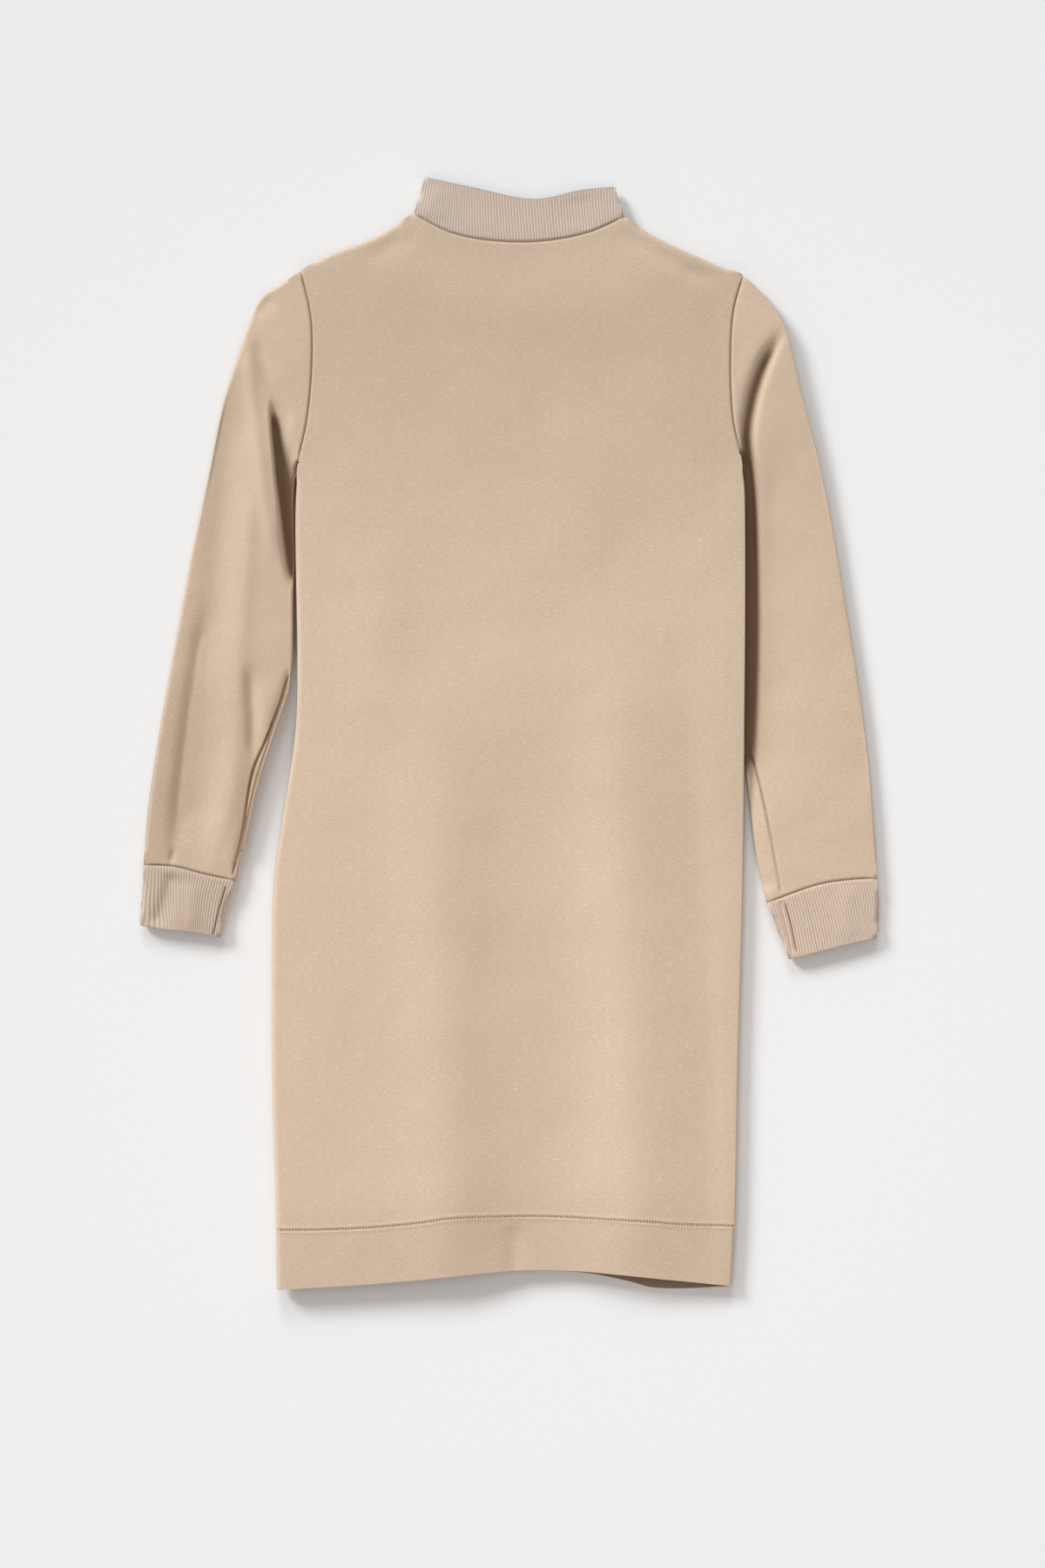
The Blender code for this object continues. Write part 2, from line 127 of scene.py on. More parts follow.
# A crease is a ridge, or a trough where its rise is below zero. It follows its path and fades out at
# its ends. Its left and right flanks have their own widths, given once or as a list along it.
Crease = namedtuple("Crease", "path rise left right fade", defaults=[0.25])
BACK_CREASES = [
    Crease([(-58, -600), (-57, -276), (-66, -60), (-82, 90)], 4.8, 34, 36, 0.3),
    Crease([(42, -600), (44, -276), (32, -100), (16, 60)], -6.6, 62, 50, 0.25),
    Crease([(114, -600), (111, -276), (94, 0), (76, 180)], 4.8, 32, 36, 0.3),
    Crease([(178, -560), (176, -276), (164, -60), (150, 130)], -1.2, 18, 16),
    Crease([(-118, -20), (-112, 90), (-116, 190)], 1.6, 30, 26),
    Crease([(60, 120), (70, 220), (64, 300)], 1.2, 34, 30),
    Crease([(-112, 427), (-103, 439), (-95, 450)], -1.6, 4, 6),
    Crease([(-132, 421), (-104, 429), (-79, 441)], -1.1, 5, 8),
    Crease([(192, 402), (164, 408), (121, 431), (88, 447)], -2.4, 9, 5),
    Crease([(194, 406), (170, 411), (145, 416)], 1.1, 4, 4),
    Crease([(124, 439), (116, 445), (107, 451)], -1.3, 3, 4),
]
HEM_FOLD = Crease([(1, -500), (5, -462), (4, -431)], -1.3, 8, 7, 0.15)

# Points of the cloth stand this close together beside a seam, and draw apart up to the panel's step.
FINE_STEP = 0.45
STEP_GROWTH = 1.32
BACK_STEP = 3.45


def smooth_line(points, steps=8):
    """A smooth line through a table's points (centripetal Catmull-Rom)."""
    points = np.array(points, dtype=float)
    ends = np.vstack([2 * points[0] - points[1], points, 2 * points[-1] - points[-2]])
    parts = []
    for a, b, c, d in zip(ends, ends[1:], ends[2:], ends[3:]):
        t1 = np.linalg.norm(b - a) ** 0.5
        t2 = t1 + np.linalg.norm(c - b) ** 0.5
        t3 = t2 + np.linalg.norm(d - c) ** 0.5
        t = t1 + (t2 - t1) * np.linspace(0, 1, steps, endpoint=False)[:, None]
        ab = a + (b - a) * t / t1
        bc = b + (c - b) * (t - t1) / (t2 - t1)
        cd = c + (d - c) * (t - t2) / (t3 - t2)
        abc = ab + (bc - ab) * t / t2
        bcd = bc + (cd - bc) * (t - t1) / (t3 - t1)
        parts.append(abc + (bcd - abc) * (t - t1) / (t2 - t1))
    return np.vstack([*parts, points[-1:]])


def lengths_along(line):
    """Length of the line from its start to each of its points."""
    runs = np.linalg.norm(np.diff(line, axis=0), axis=1)
    return np.concatenate([[0.0], np.cumsum(runs)])


def along(line, shares):
    """The points at these shares of the line's length."""
    lengths = lengths_along(line)
    wanted = np.asarray(shares) * lengths[-1]
    return np.column_stack([np.interp(wanted, lengths, axis) for axis in line.T])


def spaced(length, step, fine_start=True, fine_end=True, growth=STEP_GROWTH):
    """Shares from 0 to 1 at about this step, drawing together towards a fine end."""
    ramp = FINE_STEP * growth ** np.arange(60)
    ramp = ramp[ramp < step]
    start = ramp if fine_start else ramp[:0]
    end = ramp[::-1] if fine_end else ramp[:0]
    middle = length - start.sum() - end.sum()
    count = max(1, round(middle / step))
    steps = np.concatenate([start, np.full(count, middle / count), end])
    return np.concatenate([[0.0], np.cumsum(steps)]) / length


def patch(bottom, top, left, right, across, up):
    """Coons patch: the plan points between two rows and two sides."""
    u, v = across[None, :, None], up[:, None, None]
    corners = (1 - u) * ((1 - v) * bottom[0] + v * top[0]) + u * ((1 - v) * bottom[-1] + v * top[-1])
    return (1 - v) * bottom + v * top + (1 - u) * left[:, None] + u * right[:, None] - corners


def ease(share):
    """Turns a share from 0 to 1 into one that starts and ends softly."""
    share = np.clip(share, 0, 1)
    return share * share * (3 - 2 * share)


def nearest_on(line, plan):
    """For each plan point, its distance to the line, the share of the line there, and its side."""
    lengths = lengths_along(line[:, :2])
    gap = np.full(plan.shape[:-1], np.inf)
    share = np.zeros(plan.shape[:-1])
    side = np.ones(plan.shape[:-1])
    for start, run, before in zip(line[:-1, :2], np.diff(line[:, :2], axis=0), lengths):
        length = np.hypot(*run)
        part = np.clip((plan - start) @ run / length**2, 0, 1)
        off = plan - start - part[..., None] * run
        distance = np.hypot(off[..., 0], off[..., 1])
        closer = distance < gap
        gap = np.where(closer, distance, gap)
        share = np.where(closer, (before + part * length) / lengths[-1], share)
        side = np.where(closer, np.sign(run[0] * off[..., 1] - run[1] * off[..., 0]), side)
    return gap, share, side


Side = namedtuple("Side", "line roll")  # a closed side, and the width of its rounded edge
Lie = namedtuple("Lie", "gap edge roll seam")


def lie_of(plan, sides, seams):
    """How each plan point lies: its gap to the nearest closed side, that side's height and roll, and
    its distance from the nearest seam. Both sides of a seam give the same."""
    gap = np.full(plan.shape[:-1], np.inf)
    edge, roll, nearest_seam = np.zeros(gap.shape), np.zeros(gap.shape), gap.copy()
    for side in sides:
        side_gap, share, _ = nearest_on(side.line, plan)
        lengths = lengths_along(side.line[:, :2])
        nearer = side_gap < gap
        edge = np.where(nearer, np.interp(share * lengths[-1], lengths, side.line[:, 2]), edge)
        roll = np.where(nearer, side.roll, roll)
        gap = np.minimum(gap, side_gap)
    for line in seams:
        seam_gap = nearest_on(line, plan)[0]
        from_ends = np.minimum(*(np.linalg.norm(plan - end, axis=-1) for end in line[[0, -1], :2]))
        own = ease(seam_gap / SEAM_BLEND)
        gap = from_ends + (gap - from_ends) * own
        roll = SEAM_ROLL + (roll - SEAM_ROLL) * own
        nearest_seam = np.minimum(nearest_seam, seam_gap)
    return Lie(gap, edge, roll, nearest_seam)


def seam_dip(gap, depth, width):
    """Depth of a groove, below zero, at this distance from its line."""
    return -depth * np.exp(-((gap / width) ** 2))


def crease_height(plan, creases):
    """Height that the soft ridges and troughs add: each side has its own width, and the ends fade."""
    total = np.zeros(plan.shape[:-1])
    for crease in creases:
        gap, share, side = nearest_on(smooth_line(crease.path), plan)
        left, right = (
            np.interp(share, np.linspace(0, 1, np.size(width)), np.atleast_1d(width))
            for width in (crease.left, crease.right)
        )
        width = np.where(side > 0, left, right)
        ends = ease(np.minimum(share, 1 - share) / crease.fade)
        total += crease.rise * np.exp(-((gap / width) ** 2)) * ends
    return total


def slack(plan, size, height, seed):
    """Small unevenness of resting cloth, about this size across."""
    flat = plan.reshape(-1, 2) / size
    values = [noise.fractal(Vector((x, y, seed)), 1.0, 2.0, 3) for x, y in flat]
    return height * np.array(values).reshape(plan.shape[:-1])


def normals_of(places):
    """Unit normal at each point of a grid of places."""
    down = np.gradient(places, axis=0)
    across = np.gradient(places, axis=1)
    normal = np.cross(across, down)
    return normal / np.maximum(np.linalg.norm(normal, axis=-1, keepdims=True), 1e-9)


def cloth_shell(name, places, cut, thickness, material, tube=False, face_down=False, extra=None):
    """A cloth wall on a grid of places (mm). cut is each point's place on the flat cloth (mm)."""
    rows, columns = places.shape[:2]
    shape = bmesh.new()
    bmesh.ops.create_grid(shape, x_segments=columns - 1, y_segments=rows - 1, size=1)
    cut_layer = shape.loops.layers.uv.new("cut")
    flat_cut = cut.reshape(-1, 2) * MM
    shape.verts.index_update()
    for face in shape.faces:
        for corner in face.loops:
            corner[cut_layer].uv = flat_cut[corner.vert.index]
    for layer_name, values in (extra or {}).items():
        layer = shape.verts.layers.float.new(layer_name)
        for vert, value in zip(shape.verts, values.ravel()):
            vert[layer] = value
    for vert, place in zip(shape.verts, places.reshape(-1, 3) * MM):
        vert.co = place
    if tube:
        bmesh.ops.remove_doubles(shape, verts=shape.verts, dist=0.01 * MM)
    if face_down:
        bmesh.ops.reverse_faces(shape, faces=shape.faces)
    mesh = bpy.data.meshes.new(name)
    shape.to_mesh(mesh)
    shape.free()
    mesh.shade_smooth()
    mesh.materials.append(material)
    piece = bpy.data.objects.new(name, mesh)
    bpy.context.scene.collection.objects.link(piece)
    wall = piece.modifiers.new("wall", "SOLIDIFY")
    wall.thickness = thickness * MM
    wall.offset = -1
    wall.use_quality_normals = True
    soften = piece.modifiers.new("soft rim", "BEVEL")
    soften.width = 0.45 * MM
    soften.segments = 2
    soften.limit_method = "ANGLE"
    soften.angle_limit = math.radians(60)
    soften.harden_normals = False
    return piece


def node(tree, kind, inputs=None, **settings):
    """A new node with its settings, and its inputs set to values or linked to sockets."""
    made = tree.nodes.new(kind)
    for key, value in settings.items():
        setattr(made, key, value)
    for key, value in (inputs or {}).items():
        if isinstance(value, bpy.types.NodeSocket):
            tree.links.new(value, made.inputs[key])
        else:
            made.inputs[key].default_value = value
    return made


def math_node(tree, operation, a, b=0.0, c=0.0):
    return node(tree, "ShaderNodeMath", {0: a, 1: b, 2: c}, operation=operation).outputs[0]


WALES_PER_METRE, COURSES_PER_METRE = 909.0, 1180.0


def heather_jersey():
    """Node group: plain jersey with short heather streaks across it, and its small loops as height."""
    group = bpy.data.node_groups.new("heather jersey", "ShaderNodeTree")
    sockets = group.interface
    sockets.new_socket("Cut", in_out="INPUT", socket_type="NodeSocketVector")
    sockets.new_socket("Yarn", in_out="INPUT", socket_type="NodeSocketColor")
    sockets.new_socket("Heather", in_out="INPUT", socket_type="NodeSocketFloat")
    sockets.new_socket("Colour", in_out="OUTPUT", socket_type="NodeSocketColor")
    sockets.new_socket("Height", in_out="OUTPUT", socket_type="NodeSocketFloat")
    given = group.nodes.new("NodeGroupInput").outputs

    def grain(across, down, detail=2.0, rough=0.5):
        stretched = {0: given["Cut"], 1: (across, down, 1.0)}
        place = node(group, "ShaderNodeVectorMath", stretched, operation="MULTIPLY")
        inputs = {"Vector": place.outputs[0], "Scale": 1.0, "Detail": detail, "Roughness": rough}
        return node(group, "ShaderNodeTexNoise", inputs, noise_dimensions="2D").outputs["Fac"]

    streaks = math_node(group, "SUBTRACT", grain(260.0, 1100.0, 3.0, 0.6), 0.5)
    slubs = math_node(group, "SUBTRACT", grain(110.0, 800.0, 1.0), 0.58)
    slubs = math_node(group, "MAXIMUM", slubs, 0.0)
    patches = math_node(group, "SUBTRACT", grain(9.0, 14.0), 0.5)
    shade = math_node(group, "MULTIPLY_ADD", slubs, 0.9, math_node(group, "MULTIPLY", streaks, 0.75))
    shade = math_node(group, "MULTIPLY_ADD", shade, given["Heather"], 1.0)
    shade = math_node(group, "MULTIPLY_ADD", patches, 0.05, shade)
    colour = node(group, "ShaderNodeVectorMath", {0: given["Yarn"], "Scale": shade}, operation="SCALE")

    # Loops: upright wales 1.1 mm wide, in which each course is a small V.
    counted = {0: given["Cut"], 1: (WALES_PER_METRE, COURSES_PER_METRE, 1.0)}
    place = node(group, "ShaderNodeVectorMath", counted, operation="MULTIPLY")
    split = node(group, "ShaderNodeSeparateXYZ", {0: place.outputs[0]})
    wale = math_node(group, "FRACT", split.outputs["X"])
    leg = math_node(group, "ABSOLUTE", math_node(group, "MULTIPLY_ADD", wale, 2.0, -1.0))
    course = math_node(group, "MULTIPLY_ADD", leg, 0.6, split.outputs["Y"])
    course = math_node(group, "ADD", course, math_node(group, "MULTIPLY", grain(300.0, 300.0), 0.8))
    loops = math_node(group, "COSINE", math_node(group, "MULTIPLY", course, math.tau))
    loops = math_node(group, "MULTIPLY_ADD", loops, 0.18, math_node(group, "MULTIPLY", leg, -0.25))
    fuzz = grain(1500.0, 2600.0, 2.0)
    height = math_node(group, "MULTIPLY_ADD", streaks, 1.1, loops)
    height = math_node(group, "MULTIPLY_ADD", fuzz, 0.5, height)

    made = group.nodes.new("NodeGroupOutput").inputs
    group.links.new(colour.outputs[0], made["Colour"])
    group.links.new(height, made["Height"])
    return group


JERSEY = heather_jersey()
# Painted shade in pits and seams and elsewhere: taken from red, green and blue where its attribute is 1.
DEEP_SHADE = (-0.73, -0.79, -0.85)
BODY_COLOUR = (0.665, 0.515, 0.383, 1.0)


def jersey_cloth(name, yarn, heather=0.5):
    """Heavy cotton jersey: matt, with a faint bloom of loose fibre."""
    material = bpy.data.materials.new(name)
    material.use_nodes = True
    tree = material.node_tree
    shader = tree.nodes["Principled BSDF"]
    cut = node(tree, "ShaderNodeUVMap", uv_map="cut")
    knit = node(tree, "ShaderNodeGroup", node_tree=JERSEY)
    tree.links.new(cut.outputs["UV"], knit.inputs["Cut"])
    knit.inputs["Yarn"].default_value = yarn
    knit.inputs["Heather"].default_value = heather
    bump = node(tree, "ShaderNodeBump", {"Strength": 0.35, "Distance": 0.3 * MM})
    tree.links.new(knit.outputs["Height"], bump.inputs["Height"])
    # The attribute says where painted shade darkens the knit's colour.
    painted_shade = node(tree, "ShaderNodeAttribute", attribute_name="painted_shade")
    keep = node(tree, "ShaderNodeVectorMath", {1: DEEP_SHADE, 2: (1, 1, 1)}, operation="MULTIPLY_ADD")
    tree.links.new(painted_shade.outputs["Fac"], keep.inputs[0])
    colour = node(tree, "ShaderNodeVectorMath", {1: keep.outputs[0]}, operation="MULTIPLY")
    tree.links.new(knit.outputs["Colour"], colour.inputs[0])
    tree.links.new(colour.outputs[0], shader.inputs["Base Color"])
    tree.links.new(bump.outputs["Normal"], shader.inputs["Normal"])
    shader.inputs["Roughness"].default_value = 0.9
    shader.inputs["Specular IOR Level"].default_value = 0.25
    shader.inputs["Sheen Weight"].default_value = 0.12
    shader.inputs["Sheen Roughness"].default_value = 0.5
    shader.inputs["Sheen Tint"].default_value = (1.0, 0.93, 0.86, 1.0)
    return material


SIDE_RUN, ARMHOLE_RUN = 676.0, 172.0  # about the lengths of a side above its hem, and of an armhole


def panel_plan(hem, stitches, neck, step):
    """Plan of a body panel: the turned-up hem and the rest, which share the line of stitches."""
    top = []
    for line in (SHOULDER_LEFT, neck, SHOULDER_RIGHT[::-1]):
        line = smooth_line(line)[:, :2]
        top.append(along(line, spaced(lengths_along(line)[-1], step)))
    top = np.vstack([top[0][:-1], top[1][:-1], top[2]])
    across = (top[:, 0] - top[0, 0]) / (top[-1, 0] - top[0, 0])
    sides = []
    for seam, armhole in ((SIDE_LEFT, ARMHOLE_LEFT), (SIDE_RIGHT, ARMHOLE_RIGHT)):
        seam, armhole = smooth_line(seam)[:, :2], smooth_line(armhole)[:, :2]
        turned = HEM_DEPTH / lengths_along(seam)[-1]
        hem_side = along(seam, turned * spaced(HEM_DEPTH, step))
        shares = turned + (1 - turned) * spaced(SIDE_RUN, step, fine_end=False)
        armhole_side = along(armhole, spaced(ARMHOLE_RUN, step, fine_start=False))
        body_side = np.vstack([along(seam, shares), armhole_side[1:]])
        sides.append((hem_side, body_side))
    (hem_left, left), (hem_right, right) = sides
    bottom = along(smooth_line(hem)[:, :2], across)
    middle = along(smooth_line(stitches)[:, :2], across)
    middle[0], middle[-1] = left[0], right[0]
    up = (hem_left[:, 1] - hem_left[0, 1]) / (hem_left[-1, 1] - hem_left[0, 1])
    hem_plan = patch(bottom, middle, hem_left, hem_right, across, up)
    up = (left[:, 1] - left[0, 1]) / (left[-1, 1] - left[0, 1])
    plan = patch(middle, top, left, right, across, up)
    return np.vstack([hem_plan, plan[1:]]), len(hem_plan)


body_sides = [
    Side(smooth_line(SIDE_LEFT), 4.5),
    Side(smooth_line(SIDE_RIGHT), 1.0),
    Side(smooth_line(SHOULDER_LEFT), 5.0),
    Side(smooth_line(SHOULDER_RIGHT), 4.5),
]
armhole_lines = [smooth_line(ARMHOLE_LEFT), smooth_line(ARMHOLE_RIGHT)]
neck_line = smooth_line(NECK_BACK)


def back_loft(plan):
    """Height of the lying back: lower beside the armholes and the neck, and towards its right."""
    armhole = np.minimum(*(nearest_on(line, plan)[0] for line in armhole_lines))
    neck = nearest_on(neck_line, plan)[0]
    low_right = ease((plan[..., 0] - 20) / 200) * ease((40 - plan[..., 1]) / 140)
    body = BODY_LOFT - LOW_RIGHT_DROP * low_right
    loft = ARMHOLE_LOFT + (body - ARMHOLE_LOFT) * ease(armhole / LOFT_BLEND)
    return NECK_LOFT + (loft - NECK_LOFT) * ease(neck / LOFT_BLEND)


def quarter_round(share):
    """Height of a quarter circle's edge, from 0 where it starts to 1 at its top."""
    return np.sqrt(1 - (1 - np.clip(share, 0, 1)) ** 2)


LATE_RISE = 1.1
LAYER_RUN = 16.0  # from a closed side to where its layers lie flat


def laid_over(lie, loft):
    """Height of the upper layer: it curves up from its closed sides, then rises a little more."""
    top = loft - LATE_RISE * np.exp(-lie.gap / LAYER_RUN)
    return lie.edge + (top - lie.edge) * quarter_round(lie.gap / lie.roll)


def laid_under(lie, run=LAYER_RUN):
    """Height of the lower layer, which comes down to the surface in this width and lies on it."""
    return lie.edge * (1 - np.clip(lie.gap / run, 0, 1)) ** 1.2


# Strengths of the painted shade towards the shoulders and along the hem.
SHOULDER_SHADE, HEM_SHADE = 0.15, 0.09


def end_shade(plan):
    """Painted shade, slightly darker and greyer towards the shoulders and along the hem."""
    return SHOULDER_SHADE * ease((plan[..., 1] - 60) / 330) + HEM_SHADE * ease((-390 - plan[..., 1]) / 60)


SEAM_DEPTH, SEAM_WIDTH = 1.5, 1.0
STITCH_DEPTH, STITCH_WIDTH = 0.9, 0.8
WELT_OFFSET, WELT_RISE, WELT_WIDTH = 1.9, 0.4, 1.0  # the cloth swells a little beside the stitches


def sewn(plan, places, lie, seams, outward):
    """Draws the cloth in at its closed sides and along the seams, which make a narrow groove."""
    dip = seam_dip(lie.gap, 0.4, 0.9)
    for line in seams:
        seam_gap, share, _ = nearest_on(line, plan)
        run = np.minimum(share, 1 - share) * lengths_along(line[:, :2])[-1]
        dip = np.minimum(dip, seam_dip(seam_gap, SEAM_DEPTH, SEAM_WIDTH) * ease(run / 12))
    return places + outward * dip[..., None]


def turn_up_hem(panel, columns, hem_rows):
    """Makes the panel's wall twice as thick along its turned-up hem."""
    turned_up = panel.vertex_groups.new(name="turned up hem")
    turned_up.add(range(hem_rows * columns), 1.0, "REPLACE")
    panel.modifiers["wall"].vertex_group = turned_up.name
    panel.modifiers["wall"].thickness_vertex_group = 0.5


plan, hem_rows = panel_plan(HEM_BACK, STITCH_LINE, NECK_BACK, BACK_STEP)
lie = lie_of(plan, body_sides, [*armhole_lines, neck_line])
height = laid_over(lie, back_loft(plan))
stitch_gap, _, below = nearest_on(smooth_line(STITCH_LINE), plan)
relief = crease_height(plan, BACK_CREASES) + slack(plan, 95, 0.8, 3.1)
relief += crease_height(plan, [HEM_FOLD]) * ease(stitch_gap / 5) * (below < 0)
height += relief * ease(lie.gap / 24) * (0.25 + 0.75 * ease(lie.seam / 14))
places = np.dstack([plan, height])
places = sewn(plan, places, lie, [*armhole_lines, neck_line], normals_of(places))
places[..., 2] += seam_dip(stitch_gap, STITCH_DEPTH, STITCH_WIDTH)
places[..., 2] -= seam_dip(stitch_gap - WELT_OFFSET, WELT_RISE, WELT_WIDTH)
# Painted shade down in the seams, weaker beside the neck, and along the row of stitches.
beside_neck = nearest_on(neck_line, plan)[0] < 5
painted_shade = (0.6 - 0.3 * beside_neck) * np.exp(-((lie.seam / 0.7) ** 2))
painted_shade += 0.2 * np.exp(-((stitch_gap / 0.6) ** 2)) + end_shade(plan)

back_cloth = jersey_cloth("heather jersey, back", BODY_COLOUR)
back_panel = cloth_shell(
    "back_panel_cloth", places, plan, 2 * CLOTH, back_cloth, extra={"painted_shade": np.clip(painted_shade, 0, 1)}
)
turn_up_hem(back_panel, plan.shape[1], hem_rows)
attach(back_panel, "root")
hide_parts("back_panel")

# ==== Hem stitches ================================================================================
# One row of polyester thread that holds the turned-up hem. Each stitch is a short upright stroke,
# half sunk in the groove that the row pulls into the cloth.

STITCH_PITCH = 2.6
STITCH_REACH = (0.34, 1.7, 0.4)  # half of a stroke's width, length and height
STITCH_LEAN = math.radians(8)
STITCH_SINK = 0.45
BESIDE_STITCH = 5  # a stroke lies on the highest cloth this near
THREAD_COLOUR = (0.80, 0.66, 0.52)

row = smooth_line([(at.x, at.y) for at in STITCH_LINE])
row = along(row, np.arange(0.004, 0.996, STITCH_PITCH / lengths_along(row)[-1]))
flat_plan, flat_heights = plan.reshape(-1, 2), places[..., 2].reshape(-1)
stroke_shape = bmesh.new()
for x, y in row:
    nearby = np.hypot(*(flat_plan - (x, y)).T) < BESIDE_STITCH
    rest = flat_heights[nearby].max() - STITCH_SINK
    place = Matrix.Translation((x * MM, y * MM, rest * MM)) @ Matrix.Rotation(STITCH_LEAN, 4, "Z")
    place = place @ Matrix.Diagonal((*(reach * MM for reach in STITCH_REACH), 1.0))
    bmesh.ops.create_uvsphere(stroke_shape, u_segments=6, v_segments=4, radius=1, matrix=place)
stroke_mesh = bpy.data.meshes.new("hem_stitches")
stroke_shape.to_mesh(stroke_mesh)
stroke_shape.free()
stroke_mesh.shade_smooth()
thread = bpy.data.materials.new("polyester thread")
thread.use_nodes = True
tree = thread.node_tree
where = node(tree, "ShaderNodeTexCoord").outputs["Object"]
twist = node(tree, "ShaderNodeTexWave", {"Vector": where, "Scale": 900.0}, bands_direction="Y")
shade = node(tree, "ShaderNodeMapRange", {"Value": twist.outputs["Fac"], 3: 0.85, 4: 1.0})
twisted = {0: THREAD_COLOUR, "Scale": shade.outputs["Result"]}
colour = node(tree, "ShaderNodeVectorMath", twisted, operation="SCALE")
tree.links.new(colour.outputs[0], tree.nodes["Principled BSDF"].inputs["Base Color"])
tree.nodes["Principled BSDF"].inputs["Roughness"].default_value = 0.6
stroke_mesh.materials.append(thread)
hem_stitches = bpy.data.objects.new("hem_stitches", stroke_mesh)
bpy.context.scene.collection.objects.link(hem_stitches)
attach(hem_stitches, "root")
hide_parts("back_panel")

# ==== Front panel =================================================================================
# The same cut with a deeper neckline, lying face down on the surface. At one side its hem hangs a
# little lower and shows below the back's.

NECK_FRONT = [At(-85.0, 457.5), At(-55.0, 412.0), At(8.0, 392.0), At(72.0, 411.0), At(101.5, 455.0)]
HEM_FRONT = [
    At(-205.5, -490),
    At(-113.0, -483),
    At(4.0, -472.5),
    At(68.0, -476.5),
    At(106.0, -484),
    At(126.0, -489.2),
    At(170.0, -489.5),
    At(195.5, -487),
]
FRONT_STEP = 5.0
SHADED_INSIDE_COLOUR = (0.300, 0.215, 0.150, 1.0)  # the loopback inside, seen at the hem, darkened as painted shade
# It lies on the surface, so its creases only lift off a little.
FRONT_CREASES = [
    Crease([(-120, -400), (-128, -200), (-110, -20)], 1.3, 14, 20),
    Crease([(30, -440), (22, -250), (40, -80)], 1.6, 22, 16),
    Crease([(120, -300), (110, -120), (126, 60)], 1.1, 16, 18),
    Crease([(-60, 60), (-30, 180), (-52, 310)], 1.2, 20, 15),
    Crease([(90, 150), (110, 250), (96, 350)], 0.9, 13, 18),
]

plan, hem_rows = panel_plan(HEM_FRONT, STITCH_LINE, NECK_FRONT, FRONT_STEP)
front_neck_line = smooth_line(NECK_FRONT)
lie = lie_of(plan, body_sides, [*armhole_lines, front_neck_line])
lift = crease_height(plan, FRONT_CREASES) * ease(lie.gap / 24)
places = np.dstack([plan, laid_under(lie) + lift])
places = sewn(plan, places, lie, [*armhole_lines, front_neck_line], -normals_of(places))
stitch_gap = nearest_on(smooth_line(STITCH_LINE), plan)[0]
places[..., 2] -= seam_dip(stitch_gap, 0.5, STITCH_WIDTH)

front_cloth = jersey_cloth("heather jersey, front", BODY_COLOUR)
# Painted shade on its closed sides, where the sleeves lie against them.
shaded = ease(1 - lie.gap / LAYER_RUN) * ease((plan[..., 1] + 140) / 80) * ease((260 - plan[..., 1]) / 20)
front_panel = cloth_shell(
    "front_panel_cloth", places, plan, 2 * CLOTH, front_cloth, face_down=True, extra={"painted_shade": shaded}
)
turn_up_hem(front_panel, plan.shape[1], hem_rows)
# Its inside wall is a darker copy of the jersey: painted shade for the gap under the back's hem.
front_panel.data.materials.append(jersey_cloth("loopback inside in painted shade, front", SHADED_INSIDE_COLOUR))
front_panel.modifiers["wall"].material_offset = 1
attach(front_panel, "root")
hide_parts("front_panel")

# ==== Sleeves =====================================================================================
# Two long set-in sleeves of the same jersey, each a tube with one seam under the arm. The left one
# is creased deeply beside the armhole; the right one slips a little under the body.

Cut = namedtuple("Cut", "outer_x outer_y outer_z inner_x inner_y inner_z")
CUFF_LOFT = 10.4

SLEEVE_LEFT = [
    Cut(-184.0, 407.0, 7.0, -186.5, 238.0, 13.0),
    Cut(-202.0, 396.0, 6.8, -189.3, 212.0, 8.0),
    Cut(-218.0, 385.5, 6.6, -189.7, 190.0, 6.0),
    Cut(-228.5, 365.0, 6.4, -189.3, 165.0, 5.6),
    Cut(-235.5, 346.0, 6.2, -189.0, 136.0, 5.2),
    Cut(-252.5, 293.0, 6.0, -188.8, 105.0, 5.0),
    Cut(-267.0, 224.0, 5.8, -189.6, 70.0, 7.0),
    Cut(-283.0, 147.0, 5.6, -196.5, 36.0, 11.0),
    Cut(-297.0, 70.0, 5.4, -208.5, 0.0, 12.0),
    Cut(-310.5, -8.0, 5.2, -223.0, -46.0, 12.0),
    Cut(-319.0, -68.0, 5.0, -233.5, -93.0, 10.5),
    Cut(-323.0, -116.0, 4.6, -241.5, -130.0, 8.0),
]
SLEEVE_RIGHT = [
    Cut(206.0, 403.5, 7.0, 203.5, 247.0, 13.0),
    Cut(218.5, 392.5, 6.8, 206.2, 230.0, 8.0),
    Cut(232.0, 379.0, 6.6, 206.8, 208.0, 4.2),
    Cut(244.0, 357.0, 6.4, 205.6, 182.0, 3.2),
    Cut(252.0, 327.5, 6.2, 204.8, 150.0, 3.2),
    Cut(260.0, 294.0, 6.0, 204.2, 105.0, 3.2),
    Cut(276.5, 228.0, 5.8, 204.2, 55.0, 3.2),
    Cut(298.0, 109.0, 5.4, 204.8, 4.0, 3.2),
    Cut(314.5, 0.0, 5.2, 208.8, -39.0, 4.0),
    Cut(322.0, -80.0, 4.8, 217.0, -105.0, 4.6),
    Cut(324.5, -128.0, 4.6, 227.0, -149.5, 4.6),
]
CUFF_SEAM_LEFT = [At(-323.0, -116.0), At(-296.0, -117.5), At(-269.5, -124.0), At(-241.5, -130.0)]
CUFF_SEAM_RIGHT = [At(324.5, -128.0), At(301.0, -129.0), At(272.0, -133.5), At(227.0, -149.5)]

